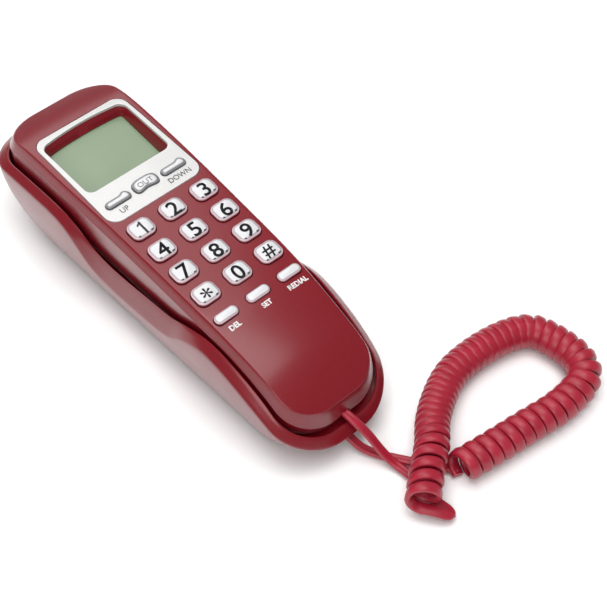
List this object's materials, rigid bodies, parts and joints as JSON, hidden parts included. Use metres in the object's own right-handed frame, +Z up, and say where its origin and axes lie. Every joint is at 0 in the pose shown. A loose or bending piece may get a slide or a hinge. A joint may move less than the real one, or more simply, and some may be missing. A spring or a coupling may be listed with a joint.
{
  "type": "corded landline phone",
  "caption": "Slim corded desk phone: a handset with a keypad and a small display lies in a long cradle base, and a curly cord joins them.",
  "frame": {"origin": "on the table, under the middle of the base's plan rectangle", "axes": "+Z up, +Y along the phone towards its display end, +X to the right of someone who reads the keypad"},
  "size_m": [0.1319, 0.2442, 0.0521],
  "materials": {
    "crimson_plastic": "glossy, faintly pearly moulded ABS",
    "silver_plate": "satin silver-grey paint",
    "clear_key": "clear cap over white",
    "clear_plug": "clear",
    "lcd_green": "grey-green display, switched off",
    "dark_rubber": "matte",
    "circuit_board": "solder mask",
    "bright_steel": "plated",
    "black_plastic": "moulded",
    "white_plastic": "moulded",
    "crimson_cord": "satin PVC"
  },
  "bodies": {
    "base": {"base_upper_shell": "crimson_plastic", "base_bottom_cover": "crimson_plastic", "base_circuit_board": "circuit_board", "base_cord_socket": "black_plastic", "base_plug": "clear_plug", "base_screw_1": "bright_steel", "base_screw_2": "bright_steel", "base_screw_3": "bright_steel", "base_screw_4": "bright_steel", "base_tail": "crimson_cord", "curly_cord_coil": "crimson_cord", "handset_tail": "crimson_cord", "hook_spring": "bright_steel", "hook_switch": "black_plastic", "line_socket": "black_plastic", "ringer_speaker": "black_plastic", "ringer_switch_body": "black_plastic", "rubber_foot_1": "dark_rubber", "rubber_foot_2": "dark_rubber", "rubber_foot_3": "dark_rubber", "rubber_foot_4": "dark_rubber"},
    "handset": {"handset_front_cover": "crimson_plastic", "handset_rear_cover": "crimson_plastic", "fascia_plate": "silver_plate", "lcd_glass": "lcd_green", "display_board": "circuit_board", "keypad_mat": "dark_rubber", "keypad_board": "circuit_board", "earpiece_gasket": "dark_rubber", "earpiece_speaker": "bright_steel", "microphone_boot": "dark_rubber", "microphone_capsule": "bright_steel", "handset_weight": "bright_steel", "handset_cord_socket": "black_plastic", "handset_plug": "clear_plug", "handset_screw_1": "bright_steel", "handset_screw_2": "bright_steel"},
    "hook": {"hook_plunger": "white_plastic"},
    "ringer_knob": {"ringer_switch_knob": "black_plastic"},
    "key_1": {"key_1": "clear_key"},
    "key_2": {"key_2": "clear_key"},
    "key_3": {"key_3": "clear_key"},
    "key_4": {"key_4": "clear_key"},
    "key_5": {"key_5": "clear_key"},
    "key_6": {"key_6": "clear_key"},
    "key_7": {"key_7": "clear_key"},
    "key_8": {"key_8": "clear_key"},
    "key_9": {"key_9": "clear_key"},
    "key_star": {"key_star": "clear_key"},
    "key_0": {"key_0": "clear_key"},
    "key_hash": {"key_hash": "clear_key"},
    "key_delete": {"key_delete": "clear_key"},
    "key_set": {"key_set": "clear_key"},
    "key_redial": {"key_redial": "clear_key"},
    "key_up": {"key_up": "clear_key"},
    "key_call": {"key_call": "clear_key"},
    "key_down": {"key_down": "clear_key"}
  },
  "joints": [
    {"name": "handset_lift", "type": "slide", "parent": "base", "child": "handset", "axis": [0, 0, 1], "range_m": [0, 0.03]},
    {"name": "hook_travel", "type": "slide", "parent": "base", "child": "hook", "axis": [0, 0, 1], "range_m": [0, 0.003], "stiffness_N_per_m": 80, "springref_m": 0.005, "deforming": ["hook_spring"]},
    {"name": "ringer_slide", "type": "slide", "parent": "base", "child": "ringer_knob", "axis": [0, 1, 0], "range_m": [-0.003, 0.003]},
    {"name": "key_1_press", "type": "slide", "parent": "handset", "child": "key_1", "axis": [0, 0.0785, -0.9969], "range_m": [0, 0.001], "stiffness_N_per_m": 300, "springref_m": -0.001},
    {"name": "key_2_press", "type": "slide", "parent": "handset", "child": "key_2", "axis": [0, 0.0785, -0.9969], "range_m": [0, 0.001], "stiffness_N_per_m": 300, "springref_m": -0.001},
    {"name": "key_3_press", "type": "slide", "parent": "handset", "child": "key_3", "axis": [0, 0.0785, -0.9969], "range_m": [0, 0.001], "stiffness_N_per_m": 300, "springref_m": -0.001},
    {"name": "key_4_press", "type": "slide", "parent": "handset", "child": "key_4", "axis": [0, 0.0785, -0.9969], "range_m": [0, 0.001], "stiffness_N_per_m": 300, "springref_m": -0.001},
    {"name": "key_5_press", "type": "slide", "parent": "handset", "child": "key_5", "axis": [0, 0.0785, -0.9969], "range_m": [0, 0.001], "stiffness_N_per_m": 300, "springref_m": -0.001},
    {"name": "key_6_press", "type": "slide", "parent": "handset", "child": "key_6", "axis": [0, 0.0785, -0.9969], "range_m": [0, 0.001], "stiffness_N_per_m": 300, "springref_m": -0.001},
    {"name": "key_7_press", "type": "slide", "parent": "handset", "child": "key_7", "axis": [0, 0.0785, -0.9969], "range_m": [0, 0.001], "stiffness_N_per_m": 300, "springref_m": -0.001},
    {"name": "key_8_press", "type": "slide", "parent": "handset", "child": "key_8", "axis": [0, 0.0785, -0.9969], "range_m": [0, 0.001], "stiffness_N_per_m": 300, "springref_m": -0.001},
    {"name": "key_9_press", "type": "slide", "parent": "handset", "child": "key_9", "axis": [0, 0.0785, -0.9969], "range_m": [0, 0.001], "stiffness_N_per_m": 300, "springref_m": -0.001},
    {"name": "key_star_press", "type": "slide", "parent": "handset", "child": "key_star", "axis": [0, 0.0785, -0.9969], "range_m": [0, 0.001], "stiffness_N_per_m": 300, "springref_m": -0.001},
    {"name": "key_0_press", "type": "slide", "parent": "handset", "child": "key_0", "axis": [0, 0.0785, -0.9969], "range_m": [0, 0.001], "stiffness_N_per_m": 300, "springref_m": -0.001},
    {"name": "key_hash_press", "type": "slide", "parent": "handset", "child": "key_hash", "axis": [0, 0.0785, -0.9969], "range_m": [0, 0.001], "stiffness_N_per_m": 300, "springref_m": -0.001},
    {"name": "key_delete_press", "type": "slide", "parent": "handset", "child": "key_delete", "axis": [0, 0.0785, -0.9969], "range_m": [0, 0.001], "stiffness_N_per_m": 300, "springref_m": -0.001},
    {"name": "key_set_press", "type": "slide", "parent": "handset", "child": "key_set", "axis": [0, 0.0785, -0.9969], "range_m": [0, 0.001], "stiffness_N_per_m": 300, "springref_m": -0.001},
    {"name": "key_redial_press", "type": "slide", "parent": "handset", "child": "key_redial", "axis": [0, 0.0785, -0.9969], "range_m": [0, 0.001], "stiffness_N_per_m": 300, "springref_m": -0.001},
    {"name": "key_up_press", "type": "slide", "parent": "handset", "child": "key_up", "axis": [0, 0.0785, -0.9969], "range_m": [0, 0.001], "stiffness_N_per_m": 300, "springref_m": -0.001},
    {"name": "key_call_press", "type": "slide", "parent": "handset", "child": "key_call", "axis": [0, 0.0785, -0.9969], "range_m": [0, 0.001], "stiffness_N_per_m": 300, "springref_m": -0.001},
    {"name": "key_down_press", "type": "slide", "parent": "handset", "child": "key_down", "axis": [0, 0.0785, -0.9969], "range_m": [0, 0.001], "stiffness_N_per_m": 300, "springref_m": -0.001}
  ],
  "couplings": [
    {"joint": "hook_travel", "follows": "handset_lift", "ratio": 0.1}
  ]
}
